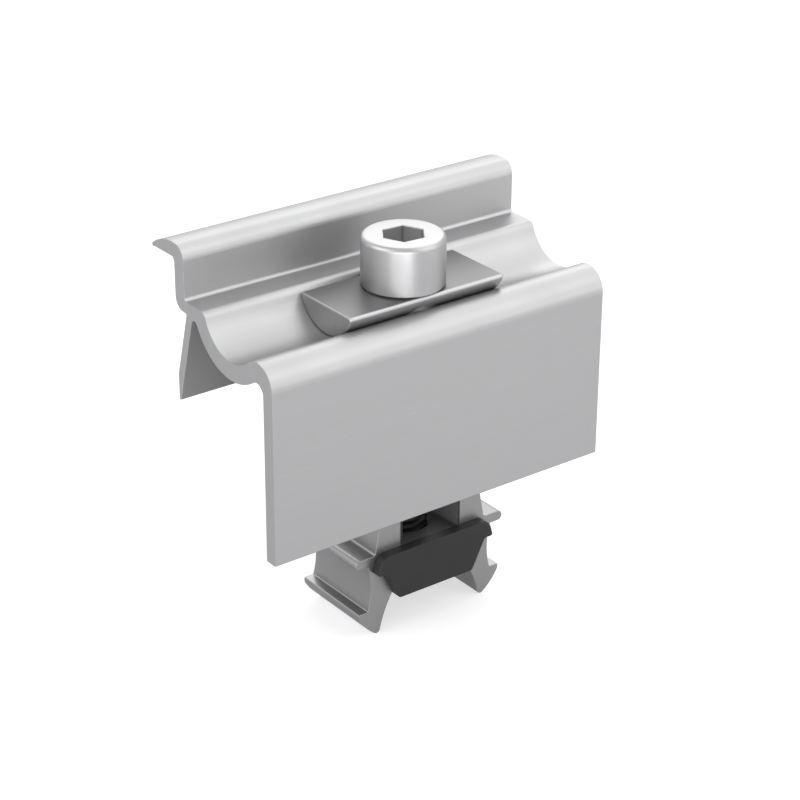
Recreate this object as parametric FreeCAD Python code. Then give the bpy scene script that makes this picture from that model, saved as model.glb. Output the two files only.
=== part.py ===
import FreeCAD, Part
import math
import os

# Solar end clamp: an extruded clamp, drawn down by a screw onto a connector that clicks
# into a mounting rail.
#
# The Z axis is the screw's axis, and z = 0 is the top of the rail, on which the connector's
# flanges rest. The clamp is extruded along X. The solar module lies towards +Y. Sizes in mm.

# Clamp screw: M8 socket head cap screw
screw_diameter = 8.0
screw_length = 50.0
head_diameter = 13.0
head_height = 8.0
head_edge_radius = 0.75
head_base_chamfer = 0.3
head_fillet_radius = 0.4
screw_end_chamfer = 1.0
socket_width = 6.0
socket_depth = 4.0
socket_corner_angle_deg = 55.2
socket_point_angle_deg = 120.0

# Half-round washer: its flat top is a little wider than the screw's head
washer_length = 28.8
washer_top_height = 42.0
washer_margin_round_head = 0.08
seat_centre_above_washer = 2.25
washer_radius = math.hypot(head_diameter / 2 + washer_margin_round_head, seat_centre_above_washer)
washer_running_clearance = 0.05
washer_edge_radius = 0.45
washer_end_radius = 0.3
washer_hole_diameter = 9.0

# Clamp profile: seat and trough
clamp_length = 62.3
seat_radius = washer_radius + washer_running_clearance
trough_thickness = 2.9
slot_width = 9.0
slot_length = 11.0

# Clamp profile: front wall, which stands on the rail when the clamp is tight
front_face_offset = 10.58
front_wall_thickness = 2.3
foot_height = 8.1
foot_corner_radius = 0.2
hump_radius = 3.7
hump_inner_radius = 1.6

# Clamp profile: ledge behind the trough, and the wall above it
ledge_above_washer = 0.6
ledge_thickness = 1.8
ledge_edge_radius = 1.4
ledge_corner_radius = 0.6
wall_face_offset = 12.2
wall_thickness = 2.45
wall_heel_radius = 2.0

# Clamp profile: lip, which bears on the module's frame
lip_underside_above_washer = 6.85
lip_crown_above_washer = 9.18
lip_crown_offset = 15.05
lip_crown_radius = 9.3
lip_reach = 20.75
lip_corner_radius = 2.2
lip_edge_radius = 0.35
lip_root_radius = 0.85

# Clamp profile: thin slanting leg under the ledge
leg_thickness = 1.6
leg_slant_deg = 15.3
leg_bend_below_washer = 12.0
leg_bend_radius = 2.0
leg_edge_thickness = 0.43
leg_edge_radius = 0.15
leg_notch_radius = 0.3
leg_root_radius = 0.8

# Rail connector
connector_length = 14.8
neck_height = 6.7
neck_half_width = 9.7
neck_base_half_width = 10.7
neck_edge_radius = 0.5
flange_thickness = 1.6
flange_reach = 14.4
flange_root_radius = 0.4
groove_height = 8.0
waist_half_width = 11.5
waist_radius = 14.0
waist_corner_radius = 0.2
hook_reach = 13.8
hook_nose_height = 0.79
hook_edge_radius = 0.2
hook_nose_radius = 0.5
hook_ramp_radius = 9.2
leg_end_half_width = 10.3
leg_end_depth = 12.5
leg_end_radius = 0.6
arch_foot_half_width = 9.95
arch_top_half_width = 6.8
arch_side_radius = 20.4
arch_corner_radius = 1.5
web_thickness = 5.9
channel_half_width = 5.85
channel_floor_height = 0.9
channel_corner_radius = 0.3
thread_running_clearance = 0.06

# Connector clip
plate_thickness = 1.8
plate_top_height = 1.8
plate_top_half_width = 10.55
plate_top_radius = 2.0
ear_half_width = 11.35
ear_underside_depth = 1.25
ear_edge_radius = 0.3
ear_root_half_width = 9.7
ear_root_radius = 0.6
plate_bottom_half_width = 7.2
plate_bottom_depth = 6.3
plate_bottom_radius = 0.6
plate_face_radius = 0.25
lining_thickness = 0.4
lining_height = 6.2
lining_edge_radius = 0.15
clip_hole_clearance = 0.4

ALONG_X = FreeCAD.Vector(1, 0, 0)
ALONG_Y = FreeCAD.Vector(0, 1, 0)
ALONG_Z = FreeCAD.Vector(0, 0, 1)


class Path:
    """A run of lines and arcs in one plane, drawn from point to point."""

    def __init__(self, start):
        self.start = start
        self.end = start
        self.edges = []

    def line_to(self, point):
        if (point - self.end).Length > 1e-6:
            self.edges.append(Part.LineSegment(self.end, point).toShape())
            self.end = point
        return self

    def arc_to(self, point, centre):
        """The shorter arc about centre, which has to be under half a turn."""
        radius = (point - centre).Length
        middle = towards(centre, (self.end + point) / 2, radius)
        self.edges.append(Part.Arc(self.end, middle, point).toShape())
        self.end = point
        return self

    def corner(self, corner, after, radius):
        """A rounded corner between the way here and the way on to after."""
        back = (self.end - corner).normalize()
        ahead = (after - corner).normalize()
        half_angle = back.getAngle(ahead) / 2
        centre = corner + (back + ahead).normalize() * (radius / math.sin(half_angle))
        self.line_to(corner + back * (radius / math.tan(half_angle)))
        return self.arc_to(corner + ahead * (radius / math.tan(half_angle)), centre)

    def face(self):
        self.line_to(self.start)
        return Part.Face(Part.Wire(self.edges))


def towards(origin, target, distance):
    """The point at a distance from origin, on the way to target."""
    return origin + (target - origin).normalize() * distance


def touching_centre(point, along, inward, radius, centre, distance):
    """The centre of a circle of the given radius that touches a line and a second circle.

    The line runs through point in the direction along, and the circle lies on its inward
    side. distance is how far the two centres are apart. Of the two places, it is the one
    that lies further along.
    """
    start = point + inward * radius
    offset = start - centre
    half = offset.dot(along)
    return start + along * (math.sqrt(half ** 2 - offset.dot(offset) + distance ** 2) - half)


def crossing(first, first_distance, second, second_distance, side):
    """The point at given distances from two centres, on the given side of their line."""
    between = second - first
    gap = between.Length
    forward = (gap ** 2 + first_distance ** 2 - second_distance ** 2) / (2 * gap)
    across = between.cross(side.cross(between)).normalize()
    return (first + between.normalize() * forward
            + across * math.sqrt(first_distance ** 2 - forward ** 2))


def extrude(face, along, length):
    """A solid of the face, half of its length to each side of it."""
    solid = face.extrude(along * length)
    solid.translate(along * (-length / 2))
    return solid


def upright_cylinder(diameter, low, high):
    return Part.makeCylinder(diameter / 2, high - low, ALONG_Z * low)


def mirrored(shape):
    """The shape and its mirror image in the plane x = 0, as one."""
    return shape.fuse(shape.mirror(FreeCAD.Vector(), ALONG_X)).removeSplitter()


def seat_centre():
    """The middle of the round seat, about which the clamp tilts on its washer."""
    return ALONG_Z * (washer_top_height + seat_centre_above_washer)


def clamp_section():
    """The extrusion's section, seen along X, as (y, z)."""
    def at(y, z):
        return FreeCAD.Vector(0, y, z)

    seat = seat_centre()
    underside_radius = seat_radius + trough_thickness
    front = -front_face_offset
    inner = front + front_wall_thickness
    back = wall_face_offset + wall_thickness
    ledge = washer_top_height + ledge_above_washer
    ledge_underside = ledge - ledge_thickness
    lip_underside = washer_top_height + lip_underside_above_washer
    lip_centre = at(lip_crown_offset, washer_top_height + lip_crown_above_washer - lip_crown_radius)

    hump = touching_centre(at(front, 0), -ALONG_Z, ALONG_Y, hump_radius,
                           seat, seat_radius + hump_radius)
    hump_inside = touching_centre(at(inner, 0), -ALONG_Z, ALONG_Y, hump_inner_radius,
                                  seat, underside_radius + hump_inner_radius)
    ledge_edge = touching_centre(at(0, ledge), ALONG_Y, -ALONG_Z, ledge_edge_radius,
                                 seat, seat_radius + ledge_edge_radius)
    lip_corner = touching_centre(at(wall_face_offset, 0), ALONG_Z, ALONG_Y, lip_corner_radius,
                                 lip_centre, lip_crown_radius - lip_corner_radius)
    lip_edge = touching_centre(at(lip_reach, 0), ALONG_Z, -ALONG_Y, lip_edge_radius,
                               lip_centre, lip_crown_radius - lip_edge_radius)
    lip_edge_rise = lip_edge.z - lip_underside
    lip_edge_inside = lip_edge.y - math.sqrt(lip_edge_radius ** 2 - lip_edge_rise ** 2)

    slant = math.radians(leg_slant_deg)
    down_leg = at(math.sin(slant), -math.cos(slant))
    off_leg = at(-math.cos(slant), -math.sin(slant))
    leg_bend = at(back, washer_top_height - leg_bend_below_washer)
    leg_outer_root = at(back - (ledge_underside - leg_bend.z) * math.tan(slant), ledge_underside)
    leg_inner_point = leg_bend - ALONG_Y * leg_thickness
    leg_edge = leg_bend.z - (leg_thickness - leg_edge_thickness) / math.tan(slant)
    leg_root = touching_centre(leg_inner_point, down_leg, off_leg, leg_root_radius,
                               seat, underside_radius + leg_root_radius)

    path = Path(at((front + inner) / 2, foot_height))
    path.corner(at(front, foot_height), hump - ALONG_Y * hump_radius, foot_corner_radius)
    path.line_to(hump - ALONG_Y * hump_radius)
    path.arc_to(towards(hump, seat, hump_radius), hump)
    path.arc_to(towards(seat, ledge_edge, seat_radius), seat)
    path.arc_to(ledge_edge + ALONG_Z * ledge_edge_radius, ledge_edge)
    wall_top = lip_corner - ALONG_Y * lip_corner_radius
    path.corner(at(wall_face_offset, ledge), wall_top, ledge_corner_radius)
    path.line_to(wall_top)
    path.arc_to(towards(lip_centre, lip_corner, lip_crown_radius), lip_corner)
    path.arc_to(towards(lip_centre, lip_edge, lip_crown_radius), lip_centre)
    path.arc_to(lip_edge - ALONG_Z * lip_edge_radius, lip_edge)
    path.arc_to(at(lip_edge_inside, lip_underside), lip_edge)
    path.corner(at(back, lip_underside), at(back, ledge), lip_root_radius)
    path.corner(at(back, ledge_underside), leg_outer_root, wall_heel_radius)
    path.corner(leg_outer_root, leg_bend, leg_notch_radius)
    path.corner(leg_bend, at(back, leg_edge), leg_bend_radius)
    path.corner(at(back, leg_edge), at(back - leg_edge_thickness, leg_edge), leg_edge_radius)
    path.corner(at(back - leg_edge_thickness, leg_edge), leg_inner_point, leg_edge_radius)
    path.line_to(leg_root - off_leg * leg_root_radius)
    path.arc_to(towards(leg_root, seat, leg_root_radius), leg_root)
    path.arc_to(towards(seat, hump_inside, underside_radius), seat)
    path.arc_to(hump_inside - ALONG_Y * hump_inner_radius, hump_inside)
    path.corner(at(inner, foot_height), at(front, foot_height), foot_corner_radius)
    return path.face()


def screw_slot():
    """The slot through the trough: long across the clamp, to let it tilt about the screw."""
    straight = slot_length - slot_width
    low = seat_centre().z - seat_radius - trough_thickness - 1
    height = seat_radius + trough_thickness
    slot = Part.makeBox(slot_width, straight, height,
                        FreeCAD.Vector(-slot_width / 2, -straight / 2, low))
    for side in (-1, 1):
        end = FreeCAD.Vector(0, side * straight / 2, low)
        slot = slot.fuse(Part.makeCylinder(slot_width / 2, height, end))
    return slot


def clamp_profile():
    return extrude(clamp_section(), ALONG_X, clamp_length).cut(screw_slot())


def half_round_washer():
    seat = seat_centre()
    top = ALONG_Z * washer_top_height
    reach = washer_radius - washer_edge_radius
    right_edge = touching_centre(top, ALONG_Y, -ALONG_Z, washer_edge_radius, seat, reach)
    left_edge = touching_centre(top, -ALONG_Y, -ALONG_Z, washer_edge_radius, seat, reach)
    path = Path(left_edge + ALONG_Z * washer_edge_radius)
    path.line_to(right_edge + ALONG_Z * washer_edge_radius)
    path.arc_to(towards(seat, right_edge, washer_radius), right_edge)
    path.arc_to(seat - ALONG_Z * washer_radius, seat)
    path.arc_to(towards(seat, left_edge, washer_radius), seat)
    path.arc_to(path.start, left_edge)
    blank = extrude(path.face(), ALONG_X, washer_length)
    ends = [edge for edge in blank.Edges if abs(edge.BoundBox.XLength) < 1e-6]
    blank = blank.makeFillet(washer_end_radius, ends)
    return blank.cut(upright_cylinder(washer_hole_diameter, 0, washer_top_height + 1))


def hexagon_socket():
    """The hexagonal hole with its drilled point, from above the head downwards."""
    top = washer_top_height + head_height
    bottom = top - socket_depth
    corner_radius = socket_width / math.sqrt(3)
    corners = []
    for k in range(7):
        angle = math.radians(socket_corner_angle_deg + 60 * k)
        corners.append(FreeCAD.Vector(corner_radius * math.cos(angle),
                                      corner_radius * math.sin(angle), bottom))
    hexagon = Part.Face(Part.makePolygon(corners)).extrude(ALONG_Z * (socket_depth + 1))
    point_depth = socket_width / 2 / math.tan(math.radians(socket_point_angle_deg / 2))
    point = Part.makeCone(0, socket_width / 2, point_depth, ALONG_Z * (bottom - point_depth))
    return hexagon.fuse(point)


def clamp_screw():
    """The screw, turned from its section, with the thread at its outer size."""
    def at(x, z):
        return FreeCAD.Vector(x, 0, z)

    base = washer_top_height
    top = base + head_height
    end = base - screw_length
    shank_radius = screw_diameter / 2
    head_radius = head_diameter / 2
    path = Path(at(0, end))
    path.line_to(at(shank_radius - screw_end_chamfer, end))
    path.line_to(at(shank_radius, end + screw_end_chamfer))
    path.corner(at(shank_radius, base), at(head_radius, base), head_fillet_radius)
    path.line_to(at(head_radius - head_base_chamfer, base))
    path.line_to(at(head_radius, base + head_base_chamfer))
    path.corner(at(head_radius, top), at(0, top), head_edge_radius)
    path.line_to(at(0, top))
    turned = path.face().revolve(FreeCAD.Vector(), ALONG_Z, 360)
    return turned.cut(hexagon_socket())


def connector_half_section():
    """Half of the connector's section, seen along Y, as (x, z)."""
    def at(x, z):
        return FreeCAD.Vector(x, 0, z)

    tip = at(flange_reach - flange_thickness / 2, flange_thickness / 2)
    hook_top = -groove_height
    leg_end = -leg_end_depth
    web_underside = channel_floor_height - web_thickness

    waist = at(waist_half_width + waist_radius, -groove_height / 2)
    waist_upper = touching_centre(at(0, 0), -ALONG_X, -ALONG_Z, waist_corner_radius,
                                  waist, waist_radius - waist_corner_radius)
    waist_lower = touching_centre(at(0, hook_top), -ALONG_X, ALONG_Z, waist_corner_radius,
                                  waist, waist_radius - waist_corner_radius)
    ramp = crossing(at(hook_reach, hook_top - hook_nose_height), hook_ramp_radius,
                    at(leg_end_half_width, leg_end), hook_ramp_radius, -ALONG_X)
    nose = touching_centre(at(hook_reach, 0), -ALONG_Z, -ALONG_X, hook_nose_radius,
                           ramp, hook_ramp_radius - hook_nose_radius)
    arch = crossing(at(arch_foot_half_width, leg_end), arch_side_radius,
                    at(arch_top_half_width, web_underside), arch_side_radius, -ALONG_X)
    foot = crossing(ramp, hook_ramp_radius - leg_end_radius,
                    arch, arch_side_radius + leg_end_radius, -ALONG_Z)
    arch_corner = touching_centre(at(0, web_underside), ALONG_X, -ALONG_Z, arch_corner_radius,
                                  arch, arch_side_radius - arch_corner_radius)

    path = Path(at(0, channel_floor_height))
    path.corner(at(channel_half_width, channel_floor_height), at(channel_half_width, neck_height),
                channel_corner_radius)
    path.corner(at(channel_half_width, neck_height), at(neck_half_width, neck_height),
                neck_edge_radius)
    path.corner(at(neck_half_width, neck_height), at(neck_base_half_width, flange_thickness),
                neck_edge_radius)
    path.corner(at(neck_base_half_width, flange_thickness), at(flange_reach, flange_thickness),
                flange_root_radius)
    path.line_to(at(tip.x, flange_thickness))
    path.arc_to(at(flange_reach, tip.z), tip)
    path.arc_to(at(tip.x, 0), tip)
    path.line_to(at(waist_upper.x, 0))
    path.arc_to(towards(waist, waist_upper, waist_radius), waist_upper)
    path.arc_to(towards(waist, waist_lower, waist_radius), waist)
    path.arc_to(at(waist_lower.x, hook_top), waist_lower)
    path.corner(at(hook_reach, hook_top), at(hook_reach, nose.z), hook_edge_radius)
    path.line_to(at(hook_reach, nose.z))
    path.arc_to(towards(ramp, nose, hook_ramp_radius), nose)
    path.arc_to(towards(ramp, foot, hook_ramp_radius), ramp)
    path.arc_to(towards(foot, arch, leg_end_radius), foot)
    path.arc_to(towards(arch, arch_corner, arch_side_radius), arch)
    path.arc_to(at(arch_corner.x, web_underside), arch_corner)
    path.line_to(at(0, web_underside))
    return path.face()


def rail_connector():
    blank = mirrored(extrude(connector_half_section(), ALONG_Y, connector_length))
    tapped_diameter = screw_diameter + 2 * thread_running_clearance
    return blank.cut(upright_cylinder(tapped_diameter, -leg_end_depth, neck_height))


def clip_end_plate(inner_y):
    """One end plate, with its soft edge on the side that faces away from the connector."""
    half = ((0, plate_top_height, 0),
            (plate_top_half_width, plate_top_height, plate_top_radius),
            (ear_half_width, -ear_underside_depth, ear_edge_radius),
            (ear_root_half_width, -ear_underside_depth, ear_root_radius),
            (plate_bottom_half_width, -plate_bottom_depth, plate_bottom_radius),
            (0, -plate_bottom_depth, 0))
    outward = math.copysign(1, inner_y)
    points = [FreeCAD.Vector(x, inner_y, z) for x, z, radius in half]
    path = Path(points[0])
    for k in range(1, len(half) - 1):
        path.corner(points[k], points[k + 1], half[k][2])
    path.line_to(points[-1])
    plate = mirrored(path.face().extrude(ALONG_Y * (outward * plate_thickness)))
    outer_y = inner_y + outward * plate_thickness
    rim = [edge for edge in plate.Edges
           if abs(edge.BoundBox.YMin - outer_y) < 1e-3 and abs(edge.BoundBox.YMax - outer_y) < 1e-3]
    return plate.makeFillet(plate_face_radius, rim)


def clip_lining():
    """The trough that lines the connector's channel, between the two end plates."""
    def at(x, z):
        return FreeCAD.Vector(x, 0, z)

    inner_half_width = channel_half_width - lining_thickness
    floor_height = channel_floor_height + lining_thickness
    path = Path(at(0, channel_floor_height))
    path.corner(at(channel_half_width, channel_floor_height), at(channel_half_width, lining_height),
                channel_corner_radius)
    path.corner(at(channel_half_width, lining_height), at(inner_half_width, lining_height),
                lining_edge_radius)
    path.corner(at(inner_half_width, lining_height), at(inner_half_width, floor_height),
                lining_edge_radius)
    path.corner(at(inner_half_width, floor_height), at(0, floor_height), lining_edge_radius)
    path.line_to(at(0, floor_height))
    return mirrored(extrude(path.face(), ALONG_Y, connector_length))


def connector_clip():
    clip = clip_lining()
    for side in (-1, 1):
        clip = clip.fuse(clip_end_plate(side * connector_length / 2))
    hole_diameter = screw_diameter + 2 * clip_hole_clearance
    hole = upright_cylinder(hole_diameter, -leg_end_depth, neck_height)
    return clip.removeSplitter().cut(hole)


os.makedirs("parts", exist_ok=True)
for make in (clamp_profile, half_round_washer, clamp_screw, rail_connector, connector_clip):
    make().exportStep(f"parts/{make.__name__}.step")
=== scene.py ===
import math

import bmesh
import bpy
from mathutils import Matrix, Vector


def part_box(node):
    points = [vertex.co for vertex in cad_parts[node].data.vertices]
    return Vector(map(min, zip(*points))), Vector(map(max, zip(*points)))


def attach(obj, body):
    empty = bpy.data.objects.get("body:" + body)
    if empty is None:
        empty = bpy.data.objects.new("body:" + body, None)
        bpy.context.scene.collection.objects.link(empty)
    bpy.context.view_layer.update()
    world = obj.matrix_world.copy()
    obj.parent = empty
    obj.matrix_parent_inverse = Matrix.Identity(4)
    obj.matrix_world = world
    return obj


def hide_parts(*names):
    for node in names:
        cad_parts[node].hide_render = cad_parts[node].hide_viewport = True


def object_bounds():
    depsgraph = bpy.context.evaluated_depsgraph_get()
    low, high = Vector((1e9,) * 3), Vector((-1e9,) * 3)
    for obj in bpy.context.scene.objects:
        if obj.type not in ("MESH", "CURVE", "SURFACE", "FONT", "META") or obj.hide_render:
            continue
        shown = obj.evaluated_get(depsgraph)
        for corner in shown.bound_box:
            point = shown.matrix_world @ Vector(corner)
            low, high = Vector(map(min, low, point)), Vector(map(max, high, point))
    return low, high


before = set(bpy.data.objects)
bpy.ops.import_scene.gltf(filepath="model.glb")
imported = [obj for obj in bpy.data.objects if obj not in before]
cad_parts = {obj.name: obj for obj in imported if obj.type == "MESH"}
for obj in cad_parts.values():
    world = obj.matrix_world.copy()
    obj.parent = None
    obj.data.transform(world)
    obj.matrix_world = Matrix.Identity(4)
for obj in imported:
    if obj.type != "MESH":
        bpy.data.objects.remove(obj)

# Solar end clamp, dressed round its solids. All lengths are in metres, in the frame of the
# solids: Z is the screw's axis, X runs along the clamp, and the solar module lies towards +Y.

cad_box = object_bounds()
mm = 0.001

# Clamp screw: M8 socket head cap screw with a partly threaded shank
washer_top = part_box("half_round_washer")[1].z
screw_end, head_top = (corner.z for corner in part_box("clamp_screw"))
shank_radius = 4.0 * mm
head_radius = 6.5 * mm
head_edge_radius = 0.75 * mm
head_base_chamfer = 0.3 * mm
neck_fillet_radius = 0.4 * mm
end_chamfer = 1.0 * mm
socket_width = 6.0 * mm
socket_depth = 4.0 * mm
socket_rim = 0.12 * mm
socket_drill_clearance = 0.003 * mm
painted_light_socket_margin = 0.3 * mm
socket_corner_angle = math.radians(55.2)
socket_point_angle = math.radians(120)
thread_pitch = 1.25 * mm
thread_length = 28.0 * mm
thread_core_radius = 3.27 * mm
thread_crest_width = 0.16 * mm
thread_root_width = 1.0 * mm
thread_root_sink = 0.05 * mm
thread_fade_turns = 0.8
thread_least_height = 0.02
thread_least_width = 0.4
screw_sides = 96
sharp_edge_angle = math.radians(32)
# Painted shade on the thread: full steel above the first height, dark grey below the second
painted_shade_top = 12.0 * mm
painted_shade_full = 6.0 * mm
painted_shade_grey = 0.06

# Connector clip: the reach of the painted light in its channel, each way from the origin
lit_channel_half_width = 6.0 * mm
lit_channel_half_length = 7.4 * mm
lit_channel_half_height = 9.0 * mm

# Studio: the floor glows more further out, and the world is white only where it is seen or
# mirrored
floor_half_size = 4.0
floor_greys = (0.61, 0.63)
floor_near = 200.0 * mm
floor_far = 900.0 * mm
floor_glow_near = 0.58
floor_glow_far = 0.82
floor_glow_mirrored = 0.37
world_fill = 0.43
world_seen = 1.0
lamp_aim = Vector((0, 0, 20.0 * mm))

# Camera, as it stood for the photograph
view_azimuth = math.radians(-37.10)
view_elevation = math.radians(25.81)
view_roll = math.radians(0.31)
view_distance = 343.37 * mm
view_aside = -0.47 * mm
view_below = -17.72 * mm
focal_length = 102.34
sensor_width = 36.0


# Shader helpers, with the places of a Mix node's colours among its inputs and outputs

mix_first_colour = 6
mix_second_colour = 7
mixed_colour = 2


def new_material(name):
    """An empty material with a Principled shader on its output."""
    material = bpy.data.materials.new(name)
    material.use_nodes = True
    return material, material.node_tree, material.node_tree.nodes["Principled BSDF"]


def add_node(tree, kind, inputs=None, **settings):
    """A node whose settings are given by name and whose inputs are values or other sockets."""
    node = tree.nodes.new(kind)
    for name, value in settings.items():
        setattr(node, name, value)
    for name, value in (inputs or {}).items():
        if isinstance(value, bpy.types.NodeSocket):
            tree.links.new(value, node.inputs[name])
        else:
            node.inputs[name].default_value = value
    return node


def add_group(tree, group, **inputs):
    """One of the shared effects, with this material's own values."""
    values = {name.replace("_", " "): value for name, value in inputs.items()}
    return add_node(tree, "ShaderNodeGroup", values, node_tree=group)


def new_group(name, inputs, outputs):
    """A node group; inputs are (name, kind, value) and outputs are (name, kind)."""
    tree = bpy.data.node_groups.new(name, "ShaderNodeTree")
    for label, kind, value in inputs:
        socket = tree.interface.new_socket(label, in_out="INPUT", socket_type="NodeSocket" + kind)
        socket.default_value = value
    for label, kind in outputs:
        tree.interface.new_socket(label, in_out="OUTPUT", socket_type="NodeSocket" + kind)
    return tree, tree.nodes.new("NodeGroupInput").outputs, tree.nodes.new("NodeGroupOutput").inputs


def mix_colours(tree, factor, first, second):
    """A mix of two colours, each a value or another socket."""
    node = add_node(tree, "ShaderNodeMix",
                    {"Factor": factor, mix_first_colour: first, mix_second_colour: second},
                    data_type="RGBA")
    return node.outputs[mixed_colour]


def mix_values(tree, factor, first, second):
    """A mix of two plain values, each a number or another socket."""
    return add_node(tree, "ShaderNodeMix", {0: factor, 2: first, 3: second}).outputs[0]


def grey(level):
    """A neutral grey, very slightly cool."""
    return (level, level, level * 1.01, 1.0)


def shades(tree, factor, level, darker, paler):
    """A grey that runs between two shares of its own level."""
    return mix_colours(tree, factor, grey(level * darker), grey(level * paler))


# Effects that several materials share

def make_drawn_lines():
    """Fine lines that run one way, as a die or a saw leaves them."""
    tree, given, result = new_group(
        "drawn_lines",
        [("Stretch", "Vector", (8.0, 2000.0, 2000.0)), ("Contrast", "Float", 1.0)],
        [("Lines", "Float")])
    place = add_node(tree, "ShaderNodeTexCoord").outputs["Object"]
    stretched = add_node(tree, "ShaderNodeVectorMath", {0: place, 1: given["Stretch"]},
                         operation="MULTIPLY")
    noise = add_node(tree, "ShaderNodeTexNoise",
                     {"Vector": stretched.outputs[0], "Scale": 1.0, "Detail": 3.0,
                      "Roughness": 0.65})
    centred = add_node(tree, "ShaderNodeMath", {0: noise.outputs[0], 1: 0.5},
                       operation="SUBTRACT")
    scaled = add_node(tree, "ShaderNodeMath",
                      {0: centred.outputs[0], 1: given["Contrast"], 2: 0.5},
                      operation="MULTIPLY_ADD", use_clamp=True)
    tree.links.new(scaled.outputs[0], result["Lines"])
    return tree


def make_facing_ends():
    """A mask that is 1 on the faces square to one axis, such as a bar's sawn ends."""
    tree, given, result = new_group(
        "facing_ends", [("Axis", "Vector", (1.0, 0.0, 0.0))], [("Mask", "Float")])
    normal = add_node(tree, "ShaderNodeTexCoord").outputs["Normal"]
    along = add_node(tree, "ShaderNodeVectorMath", {0: normal, 1: given["Axis"]},
                     operation="DOT_PRODUCT")
    size = add_node(tree, "ShaderNodeMath", {0: along.outputs["Value"]}, operation="ABSOLUTE")
    mask = add_node(tree, "ShaderNodeMapRange",
                    {"Value": size.outputs[0], "From Min": 0.93, "From Max": 0.97})
    tree.links.new(mask.outputs[0], result["Mask"])
    return tree


def make_edge_wear_and_highlight():
    """A broken mask along the edges, for their wear and for painted highlights on them, and the
    edges' soft normal.

    Edges round the faces square to Axis, such as a bar's sawn ends, stay out of the mask.
    """
    tree, given, result = new_group(
        "edge_wear_and_highlight",
        [("Width", "Float", 0.15 * mm), ("Break Up", "Float", 900.0),
         ("Axis", "Vector", (0.0, 0.0, 0.0))],
        [("Mask", "Float"), ("Normal", "Vector")])
    bevel = add_node(tree, "ShaderNodeBevel", {"Radius": given["Width"]}, samples=6)
    normal = add_node(tree, "ShaderNodeNewGeometry").outputs["Normal"]
    match = add_node(tree, "ShaderNodeVectorMath", {0: bevel.outputs[0], 1: normal},
                     operation="DOT_PRODUCT")
    edge = add_node(tree, "ShaderNodeMapRange",
                    {"Value": match.outputs["Value"], "From Min": 0.995, "From Max": 0.88})
    place = add_node(tree, "ShaderNodeTexCoord").outputs["Object"]
    noise = add_node(tree, "ShaderNodeTexNoise",
                     {"Vector": place, "Scale": given["Break Up"], "Detail": 2.0})
    broken = add_node(tree, "ShaderNodeMapRange",
                      {"Value": noise.outputs[0], "From Min": 0.3, "From Max": 0.6,
                       "To Min": 0.35, "To Max": 1.0})
    along = add_node(tree, "ShaderNodeVectorMath", {0: bevel.outputs[0], 1: given["Axis"]},
                     operation="DOT_PRODUCT")
    leaning = add_node(tree, "ShaderNodeMath", {0: along.outputs["Value"]}, operation="ABSOLUTE")
    lengthwise = add_node(tree, "ShaderNodeMapRange",
                          {"Value": leaning.outputs[0], "From Min": 0.3, "From Max": 0.05})
    worn = add_node(tree, "ShaderNodeMath", {0: edge.outputs[0], 1: broken.outputs[0]},
                    operation="MULTIPLY")
    mask = add_node(tree, "ShaderNodeMath", {0: worn.outputs[0], 1: lengthwise.outputs[0]},
                    operation="MULTIPLY")
    tree.links.new(mask.outputs[0], result["Mask"])
    tree.links.new(bevel.outputs[0], result["Normal"])
    return tree


def make_cloudiness():
    """Broad soft variation, as handling and oxide leave on bare metal or on plastic."""
    tree, given, result = new_group(
        "cloudiness", [("Scale", "Float", 90.0)], [("Value", "Float")])
    place = add_node(tree, "ShaderNodeTexCoord").outputs["Object"]
    noise = add_node(tree, "ShaderNodeTexNoise",
                     {"Vector": place, "Scale": given["Scale"], "Detail": 4.0,
                      "Roughness": 0.55, "Distortion": 0.3})
    value = add_node(tree, "ShaderNodeMapRange",
                     {"Value": noise.outputs[0], "From Min": 0.3, "From Max": 0.7})
    tree.links.new(value.outputs[0], result["Value"])
    return tree


drawn_lines = make_drawn_lines()
facing_ends = make_facing_ends()
edge_wear_and_highlight = make_edge_wear_and_highlight()
cloudiness = make_cloudiness()


# Materials

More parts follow.
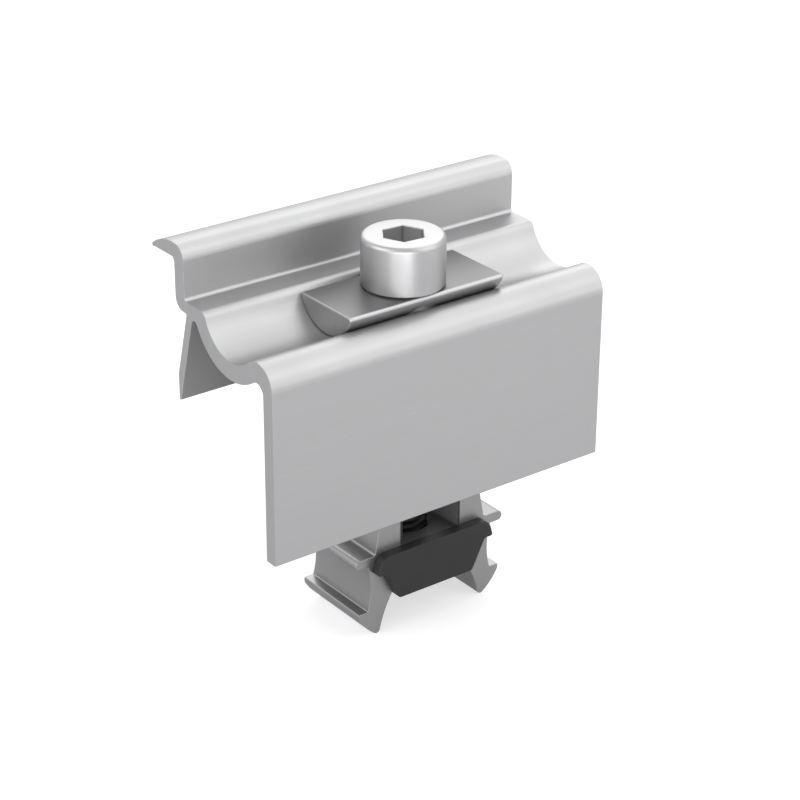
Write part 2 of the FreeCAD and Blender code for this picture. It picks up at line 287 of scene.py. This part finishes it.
def extruded_aluminium(name, along, face_grey, top_shade_grey, end_grey, edge_wear_and_highlight_grey, edge_width,
                       roughness):
    """Satin aluminium with die lines along the extrusion, sawn ends, a painted shade of its own
    grey on the faces square to Z, and paler edges that are partly wear and partly painted
    highlights.
    """
    material, tree, shader = new_material(name)
    across = Vector((1, 1, 1)) - along
    die_stretch = across * 2600 + along * 6
    saw_stretch = Vector((1700, 1700, 90))
    die_lines = add_group(tree, drawn_lines, Stretch=die_stretch, Contrast=1.3).outputs["Lines"]
    saw_lines = add_group(tree, drawn_lines, Stretch=saw_stretch, Contrast=1.2).outputs["Lines"]
    ends = add_group(tree, facing_ends, Axis=along).outputs["Mask"]
    flats = add_group(tree, facing_ends, Axis=Vector((0, 0, 1))).outputs["Mask"]
    edges = add_group(tree, edge_wear_and_highlight, Width=edge_width, Break_Up=700.0, Axis=along)
    clouds = add_group(tree, cloudiness, Scale=110.0).outputs["Value"]

    drawn = shades(tree, die_lines, face_grey, darker=0.94, paler=1.03)
    stain = grey(face_grey * 0.97)
    stained = mix_colours(tree, clouds, drawn, stain)
    # Painted shade: the faces square to Z take a grey of their own, for how light falls on them
    top_shaded = mix_colours(tree, flats, stained, grey(top_shade_grey))
    sawn = shades(tree, saw_lines, end_grey, darker=0.93, paler=1.04)
    surface = mix_colours(tree, ends, top_shaded, sawn)
    # Paler edges: partly wear, partly painted highlights
    finished = mix_colours(tree, edges.outputs["Mask"], surface, grey(edge_wear_and_highlight_grey))
    tree.links.new(finished, shader.inputs["Base Color"])

    smoothest = roughness - 0.02
    roughest = roughness + 0.03
    sawn_roughness = roughness + 0.05
    face_gloss = add_node(tree, "ShaderNodeMapRange",
                          {"Value": clouds, "To Min": smoothest, "To Max": roughest})
    gloss = mix_values(tree, ends, face_gloss.outputs[0], sawn_roughness)
    tree.links.new(gloss, shader.inputs["Roughness"])

    bump = add_node(tree, "ShaderNodeBump",
                    {"Strength": 0.25, "Distance": 0.02 * mm,
                     "Height": mix_values(tree, ends, die_lines, saw_lines),
                     "Normal": edges.outputs["Normal"]})
    tree.links.new(bump.outputs[0], shader.inputs["Normal"])
    shader.inputs["Metallic"].default_value = 1.0
    shader.inputs["Specular Tint"].default_value = grey(0.7)
    return material


def stainless_steel(name, darkest, palest):
    """Smooth cold-formed stainless steel with a faint grain, darkened towards the screw's end by a
    painted shade.
    """
    material, tree, shader = new_material(name)
    clouds = add_group(tree, cloudiness, Scale=260.0).outputs["Value"]
    edges = add_group(tree, edge_wear_and_highlight, Width=0.05 * mm, Break_Up=900.0)
    blotched = mix_colours(tree, clouds, grey(darkest), grey(palest))
    rubbed = grey(palest * 1.1)
    bare = mix_colours(tree, edges.outputs["Mask"], blotched, rubbed)
    # Painted shade: the steel darkens towards the screw's end, down in the connector's recess
    place = add_node(tree, "ShaderNodeTexCoord").outputs["Object"]
    height = add_node(tree, "ShaderNodeSeparateXYZ", {0: place}).outputs["Z"]
    painted_shade = add_node(tree, "ShaderNodeMapRange",
                      {"Value": height, "From Min": painted_shade_top, "From Max": painted_shade_full})
    finished = mix_colours(tree, painted_shade.outputs[0], bare, grey(painted_shade_grey))
    tree.links.new(finished, shader.inputs["Base Color"])
    gloss = add_node(tree, "ShaderNodeMapRange",
                     {"Value": clouds, "To Min": 0.39, "To Max": 0.44})
    tree.links.new(gloss.outputs[0], shader.inputs["Roughness"])
    bump = add_node(tree, "ShaderNodeBump",
                    {"Strength": 0.08, "Distance": 0.02 * mm, "Height": clouds,
                     "Normal": edges.outputs["Normal"]})
    tree.links.new(bump.outputs[0], shader.inputs["Normal"])
    shader.inputs["Metallic"].default_value = 1.0
    return material


def moulded_plastic(name, own_tone_greys, lit_channel_greys, edge_wear_and_highlight_grey, lit_channel_half_size):
    """Moulded plastic with a fine spark-eroded grain, and paler inside its channel as painted
    light.
    """
    material, tree, shader = new_material(name)
    clouds = add_group(tree, cloudiness, Scale=150.0).outputs["Value"]
    edges = add_group(tree, edge_wear_and_highlight, Width=0.2 * mm, Break_Up=500.0)
    place = add_node(tree, "ShaderNodeTexCoord").outputs["Object"]
    grain = add_node(tree, "ShaderNodeTexNoise",
                     {"Vector": place, "Scale": 2600.0, "Detail": 2.0}).outputs[0]
    own_tone = mix_colours(tree, clouds, *map(grey, own_tone_greys))
    lit_channel = mix_colours(tree, clouds, *map(grey, lit_channel_greys))
    span = add_node(tree, "ShaderNodeVectorMath", {0: place}, operation="ABSOLUTE")
    reach = add_node(tree, "ShaderNodeSeparateXYZ", {0: span.outputs[0]}).outputs
    inside = [add_node(tree, "ShaderNodeMath", {0: reach[axis], 1: limit},
                       operation="LESS_THAN").outputs[0]
              for axis, limit in zip("XYZ", lit_channel_half_size)]
    both = add_node(tree, "ShaderNodeMath", {0: inside[0], 1: inside[1]}, operation="MULTIPLY")
    within = add_node(tree, "ShaderNodeMath", {0: both.outputs[0], 1: inside[2]},
                      operation="MULTIPLY")
    # Painted light: inside the channel the plastic takes paler greys
    surface = mix_colours(tree, within.outputs[0], own_tone, lit_channel)
    # Paler edges: partly wear, partly painted highlights
    finished = mix_colours(tree, edges.outputs["Mask"], surface, grey(edge_wear_and_highlight_grey))
    tree.links.new(finished, shader.inputs["Base Color"])
    gloss = add_node(tree, "ShaderNodeMapRange",
                     {"Value": grain, "To Min": 0.40, "To Max": 0.56})
    tree.links.new(gloss.outputs[0], shader.inputs["Roughness"])
    bump = add_node(tree, "ShaderNodeBump",
                    {"Strength": 0.3, "Distance": 0.03 * mm, "Height": grain,
                     "Normal": edges.outputs["Normal"]})
    tree.links.new(bump.outputs[0], shader.inputs["Normal"])
    shader.inputs["Specular IOR Level"].default_value = 0.25
    return material


def give_material(piece, material):
    """The piece's one material, in place of any that it had."""
    piece.data.materials.clear()
    piece.data.materials.append(material)


# Clamp screw, with its thread

def ring(sheet, radius_at, height):
    """A closed ring of vertices round the screw's axis; radius_at gives the radius at an angle."""
    ring_points = []
    for k in range(screw_sides):
        angle = socket_corner_angle + 2 * math.pi * k / screw_sides
        radius = radius_at(angle)
        ring_points.append(sheet.verts.new((radius * math.cos(angle), radius * math.sin(angle),
                                            height)))
    return ring_points


def join_rings(sheet, lower, upper):
    """A band of faces between two rings."""
    for k in range(screw_sides):
        after = (k + 1) % screw_sides
        sheet.faces.new((lower[k], lower[after], upper[after], upper[k]))


def close_ring(sheet, last, height):
    """A flat cap or a cone from the last ring to the axis."""
    middle = sheet.verts.new((0, 0, height))
    for k in range(screw_sides):
        sheet.faces.new((last[k], last[(k + 1) % screw_sides], middle))


def circle(radius):
    """The outline of a circle."""
    return lambda angle: radius


def hexagon(width):
    """The outline of a hexagon, width across its flats."""
    def radius_at(angle):
        from_flat = (angle - socket_corner_angle) % (math.pi / 3) - math.pi / 6
        return width / 2 / math.cos(from_flat)
    return radius_at


def quarter_round(centre_radius, centre_height, radius, start, end, steps=6):
    """Points (radius, height) round a quarter of a circle, in the plane of the axis."""
    points = []
    for k in range(steps + 1):
        angle = math.radians(start + (end - start) * k / steps)
        points.append((centre_radius + radius * math.cos(angle),
                       centre_height + radius * math.sin(angle)))
    return points


def screw_outline():
    """The turned outline as (radius, height), from the end of the thread to the head's top."""
    thread_top = screw_end + thread_length
    shoulder = shank_radius - thread_core_radius
    outline = [(shank_radius - end_chamfer, screw_end),
               (thread_core_radius, screw_end + end_chamfer - shoulder),
               (thread_core_radius, thread_top - shoulder),
               (shank_radius, thread_top)]
    outline += quarter_round(shank_radius + neck_fillet_radius, washer_top - neck_fillet_radius,
                             neck_fillet_radius, 180, 90)
    outline += [(head_radius - head_base_chamfer, washer_top),
                (head_radius, washer_top + head_base_chamfer)]
    outline += quarter_round(head_radius - head_edge_radius, head_top - head_edge_radius,
                             head_edge_radius, 0, 90)
    return outline


def build_screw_body(sheet):
    """The turned body, and then the socket, down to its drilled point."""
    outline = screw_outline()
    end_radius, end_height = outline[0]
    first = ring(sheet, circle(end_radius), end_height)
    close_ring(sheet, list(reversed(first)), end_height)
    last = first
    for radius, height in outline[1:]:
        upper = ring(sheet, circle(radius), height)
        join_rings(sheet, last, upper)
        last = upper
    socket_floor = head_top - socket_depth
    for width, height in ((socket_width + 2 * socket_rim, head_top),
                          (socket_width, head_top - socket_rim),
                          (socket_width, socket_floor)):
        upper = ring(sheet, hexagon(width), height)
        join_rings(sheet, last, upper)
        last = upper
    drilled = ring(sheet, circle(socket_width / 2 - socket_drill_clearance), socket_floor)
    join_rings(sheet, last, drilled)
    close_ring(sheet, drilled, socket_floor - socket_width / 2 / math.tan(socket_point_angle / 2))


def build_thread_ridge(sheet):
    """A helical ridge wound on the screw's core, fading out at both ends."""
    turns = (thread_length - thread_pitch) / thread_pitch
    steps = int(turns * screw_sides)
    sections = []
    for k in range(steps + 1):
        turn = k / screw_sides
        fade = min(1.0, turn / thread_fade_turns, (turns - turn) / thread_fade_turns)
        fade = max(fade, thread_least_height)
        width_share = thread_least_width + (1 - thread_least_width) * fade
        angle = 2 * math.pi * turn
        height = screw_end + 0.5 * thread_pitch + thread_pitch * turn
        base = thread_core_radius - thread_root_sink
        crest = thread_core_radius + (shank_radius - thread_core_radius) * fade
        section = []
        for radius, offset in ((base, -thread_root_width / 2), (crest, -thread_crest_width / 2),
                               (crest, thread_crest_width / 2), (base, thread_root_width / 2)):
            section.append(sheet.verts.new((radius * math.cos(angle), radius * math.sin(angle),
                                            height + offset * width_share)))
        sections.append(section)
    for before, after in zip(sections, sections[1:]):
        for j in range(len(before)):
            beside = (j + 1) % len(before)
            sheet.faces.new((before[j], after[j], after[beside], before[beside]))
    sheet.faces.new(sections[0])
    sheet.faces.new(list(reversed(sections[-1])))


def make_threaded_screw():
    """The screw with its thread wound on, with painted light inside the socket as a paler copy of
    its steel.
    """
    sheet = bmesh.new()
    build_screw_body(sheet)
    build_thread_ridge(sheet)
    mesh = bpy.data.meshes.new("threaded_screw")
    sheet.to_mesh(mesh)
    sheet.free()
    screw = bpy.data.objects.new("threaded_screw", mesh)
    bpy.context.scene.collection.objects.link(screw)
    mesh.shade_smooth()
    mesh.set_sharp_from_angle(angle=sharp_edge_angle)
    give_material(screw, stainless_steel("screw_steel", darkest=0.395, palest=0.425))
    # Painted light: a paler copy of the screw's steel lines the socket, where it would lie in
    # shade
    painted_light_socket_steel = stainless_steel("painted_light_socket_steel", darkest=0.54, palest=0.58)
    screw.data.materials.append(painted_light_socket_steel)
    for face in mesh.polygons:
        within = face.center.xy.length < socket_width / 2 + painted_light_socket_margin
        if within and washer_top < face.center.z < head_top - socket_rim:
            face.material_index = 1
    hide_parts("clamp_screw")
    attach(screw, "screw")


# Floor, light and camera

def floor_material():
    """White, with a glow that leaves the object's soft shadow."""
    material, tree, shader = new_material("studio_floor")
    place = add_node(tree, "ShaderNodeTexCoord").outputs["Object"]
    speckle = add_node(tree, "ShaderNodeTexNoise", {"Vector": place, "Scale": 60.0, "Detail": 3.0})
    surface = mix_colours(tree, speckle.outputs[0], *map(grey, floor_greys))
    tree.links.new(surface, shader.inputs["Base Color"])
    shader.inputs["Roughness"].default_value = 0.9
    shader.inputs["Specular IOR Level"].default_value = 0.1
    path = add_node(tree, "ShaderNodeLightPath").outputs
    mirrored = add_node(tree, "ShaderNodeMath",
                        {0: path["Is Glossy Ray"], 1: floor_glow_mirrored}, operation="MULTIPLY")
    distance = add_node(tree, "ShaderNodeVectorMath", {0: place}, operation="LENGTH")
    outwards = add_node(tree, "ShaderNodeMapRange",
                        {"Value": distance.outputs["Value"], "From Min": floor_near,
                         "From Max": floor_far, "To Min": floor_glow_near,
                         "To Max": floor_glow_far})
    lift = add_node(tree, "ShaderNodeMath",
                    {0: path["Is Camera Ray"], 1: outwards.outputs[0], 2: mirrored.outputs[0]},
                    operation="MULTIPLY_ADD")
    glow = add_node(tree, "ShaderNodeEmission",
                    {"Color": grey(1.0), "Strength": lift.outputs[0]})
    both = add_node(tree, "ShaderNodeAddShader", {0: shader.outputs[0], 1: glow.outputs[0]})
    tree.links.new(both.outputs[0], tree.nodes["Material Output"].inputs["Surface"])
    return material


def make_floor():
    """A square sheet at the level that the connector's legs stand on."""
    floor_height = cad_box[0][2]
    mesh = bpy.data.meshes.new("floor")
    corners = [(-floor_half_size, -floor_half_size), (floor_half_size, -floor_half_size),
               (floor_half_size, floor_half_size), (-floor_half_size, floor_half_size)]
    mesh.from_pydata([(x, y, floor_height) for x, y in corners], [], [(0, 1, 2, 3)])
    floor = bpy.data.objects.new("floor", mesh)
    bpy.context.scene.collection.objects.link(floor)
    give_material(floor, floor_material())


def make_world():
    """White where it is seen or mirrored, and a plain grey light otherwise."""
    world = bpy.data.worlds.new("studio")
    world.use_nodes = True
    tree = world.node_tree
    path = add_node(tree, "ShaderNodeLightPath").outputs
    seen = add_node(tree, "ShaderNodeMath",
                    {0: path["Is Camera Ray"], 1: path["Is Transmission Ray"]},
                    operation="MAXIMUM")
    white = add_node(tree, "ShaderNodeMath",
                     {0: seen.outputs[0], 1: path["Is Glossy Ray"]}, operation="MAXIMUM")
    strength = add_node(tree, "ShaderNodeMapRange",
                        {"Value": white.outputs[0], "To Min": world_fill, "To Max": world_seen})
    background = tree.nodes["Background"]
    background.inputs["Color"].default_value = (1, 1, 1, 1)
    tree.links.new(strength.outputs[0], background.inputs["Strength"])
    bpy.context.scene.world = world


def aim(thing, place, target):
    """Puts a lamp in the scene, facing its target."""
    thing.location = place
    thing.rotation_euler = (target - place).to_track_quat("-Z", "Y").to_euler()
    bpy.context.scene.collection.objects.link(thing)


def make_lamp(name, place, width, height, power):
    """A soft rectangular lamp that looks at the middle of the object."""
    lamp = bpy.data.lights.new(name, "AREA")
    lamp.shape = "RECTANGLE"
    lamp.size = width
    lamp.size_y = height
    lamp.energy = power
    aim(bpy.data.objects.new(name, lamp), Vector(place), lamp_aim)


def make_lamps():
    """Four lamps above the object, and three low ones that light its upright faces."""
    make_lamp("right_light", (0.42, -0.12, 0.68), width=1.5, height=0.5, power=2.45)
    make_lamp("front_right_light", (0.42, -0.48, 0.44), width=0.6, height=0.35, power=0.62)
    make_lamp("back_right_light", (0.33, 0.545, 0.42), width=0.62, height=0.3, power=1.34)
    make_lamp("left_light", (-0.65, 0.15, 0.45), width=0.6, height=0.6, power=2.4)
    make_lamp("low_right_light", (0.52, -0.60, 0.10), width=0.6, height=0.2, power=0.7)
    make_lamp("low_front_light", (-0.25, -0.49, 0.03), width=0.2, height=0.06, power=0.84)
    make_lamp("low_left_light", (-0.45, -0.30, 0.03), width=0.2, height=0.06, power=0.50)


def make_camera():
    """The camera, which looks along the line that the photograph was taken on."""
    scene = bpy.context.scene
    back = Vector((math.sin(view_azimuth) * math.cos(view_elevation),
                   -math.cos(view_azimuth) * math.cos(view_elevation),
                   math.sin(view_elevation)))
    level_right = Vector((0, 0, 1)).cross(back).normalized()
    level_up = back.cross(level_right)
    right = math.cos(view_roll) * level_right + math.sin(view_roll) * level_up
    up = back.cross(right)
    data = bpy.data.cameras.new("camera")
    data.lens = focal_length
    data.sensor_width = sensor_width
    data.clip_start = 0.01
    camera = bpy.data.objects.new("camera", data)
    place = (Vector((0, 0, washer_top)) + right * view_aside + up * view_below
             + back * view_distance)
    turned = Matrix((right, up, back)).transposed().to_4x4()
    camera.matrix_world = Matrix.Translation(place) @ turned
    scene.collection.objects.link(camera)
    scene.camera = camera


# The pieces in their materials, and the studio round them

along_x = Vector((1, 0, 0))
along_y = Vector((0, 1, 0))
clamp_aluminium = extruded_aluminium(
    "clamp_aluminium", along_x, face_grey=0.435, top_shade_grey=0.43, end_grey=0.40, edge_wear_and_highlight_grey=0.48,
    edge_width=0.07 * mm, roughness=0.46)
# Washer: a painted shade makes its top about half as bright as its round side, and its edges carry
# painted highlights
washer_aluminium = extruded_aluminium(
    "washer_aluminium", along_x, face_grey=0.44, top_shade_grey=0.222, end_grey=0.34, edge_wear_and_highlight_grey=0.75,
    edge_width=0.2 * mm, roughness=0.42)
# Connector: its very pale edges are painted highlights along its corners and fillets
connector_aluminium = extruded_aluminium(
    "connector_aluminium", along_y, face_grey=0.305, top_shade_grey=0.30, end_grey=0.305, edge_wear_and_highlight_grey=0.90,
    edge_width=0.18 * mm, roughness=0.36)
clip_plastic = moulded_plastic(
    "clip_plastic", own_tone_greys=(0.020, 0.024), lit_channel_greys=(0.09, 0.11), edge_wear_and_highlight_grey=0.055,
    lit_channel_half_size=(lit_channel_half_width, lit_channel_half_length, lit_channel_half_height))
for node, material in (
        ("clamp_profile", clamp_aluminium),
        ("half_round_washer", washer_aluminium),
        ("rail_connector", connector_aluminium),
        ("connector_clip", clip_plastic)):
    give_material(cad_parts[node], material)
make_threaded_screw()
make_floor()
make_world()
make_lamps()
make_camera()
bpy.context.scene.view_settings.view_transform = "Standard"
